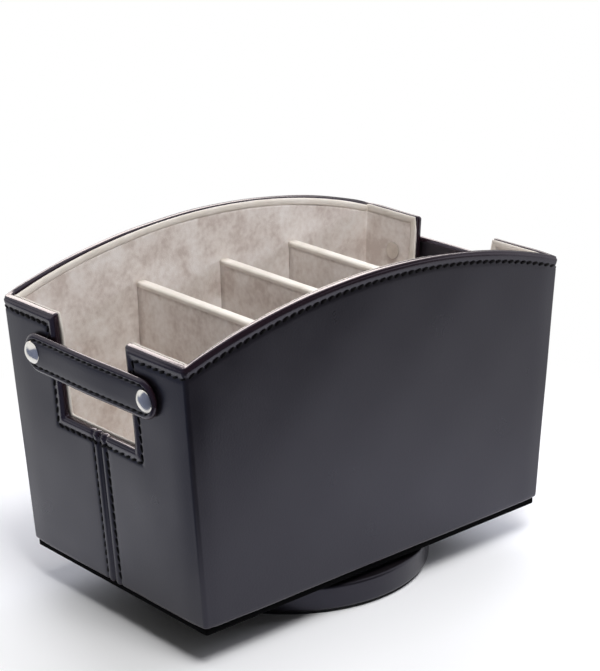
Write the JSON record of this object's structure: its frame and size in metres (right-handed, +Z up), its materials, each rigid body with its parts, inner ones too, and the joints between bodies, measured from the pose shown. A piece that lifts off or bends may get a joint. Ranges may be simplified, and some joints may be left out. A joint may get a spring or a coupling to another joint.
{
  "type": "remote control holder",
  "caption": "Leather-covered desk caddy with flared walls, arched rim, a notch and riveted strap at each end, inner dividers, and a round swivel base.",
  "frame": {"origin": "on the swivel axis, at the underside of the base's foot pad, which is the bottom centre of the whole", "axes": "+Z up along the swivel axis, +Y along the tub's length, towards the back, +X across it; the two ends are alike, and the front is the end with the deepest compartment"},
  "size_m": [0.128, 0.225, 0.1534],
  "materials": {
    "leather": "smooth dark brown-black synthetic leather, satin",
    "greyboard": "raw pressed board, matte",
    "suede": "beige brushed suede cloth",
    "cream_tape": "cream woven edging",
    "black_paper": "black coated board, matte",
    "nickel": "polished nickel plate",
    "zinc_steel": "zinc-plated pressed steel",
    "ball_steel": "polished bearing steel",
    "nylon": "natural nylon",
    "foot_foam": "black foam sheet, matte"
  },
  "bodies": {
    "base": {"base_disc": "greyboard", "base_cover": "leather", "base_pad": "foot_foam", "swivel_lower_plate": "zinc_steel", "swivel_lower_screws": "zinc_steel", "swivel_balls": "ball_steel", "swivel_ball_cage": "nylon"},
    "tub": {"leather_panel_left": "leather", "leather_panel_right": "leather", "wall_board_front": "greyboard", "wall_board_back": "greyboard", "wall_board_left": "greyboard", "wall_board_right": "greyboard", "suede_lining": "suede", "rim_edging": "cream_tape", "floor_pad": "suede", "floor_board": "greyboard", "filler_card": "greyboard", "bottom_board": "black_paper", "divider_cover_front": "suede", "divider_cover_middle": "suede", "divider_cover_rear": "suede", "divider_board_front": "greyboard", "divider_board_middle": "greyboard", "divider_board_rear": "greyboard", "strap_front": "leather", "strap_back": "leather", "rivet_caps_front": "nickel", "rivet_caps_back": "nickel", "rivet_posts_front": "nickel", "rivet_posts_back": "nickel", "swivel_upper_plate": "zinc_steel", "swivel_upper_bolts": "zinc_steel", "swivel_eyelet": "zinc_steel"}
  },
  "joints": [
    {"name": "swivel", "type": "hinge", "parent": "base", "child": "tub", "pos_m": [0, 0, 0.011], "axis": [0, 0, 1], "continuous": true}
  ]
}
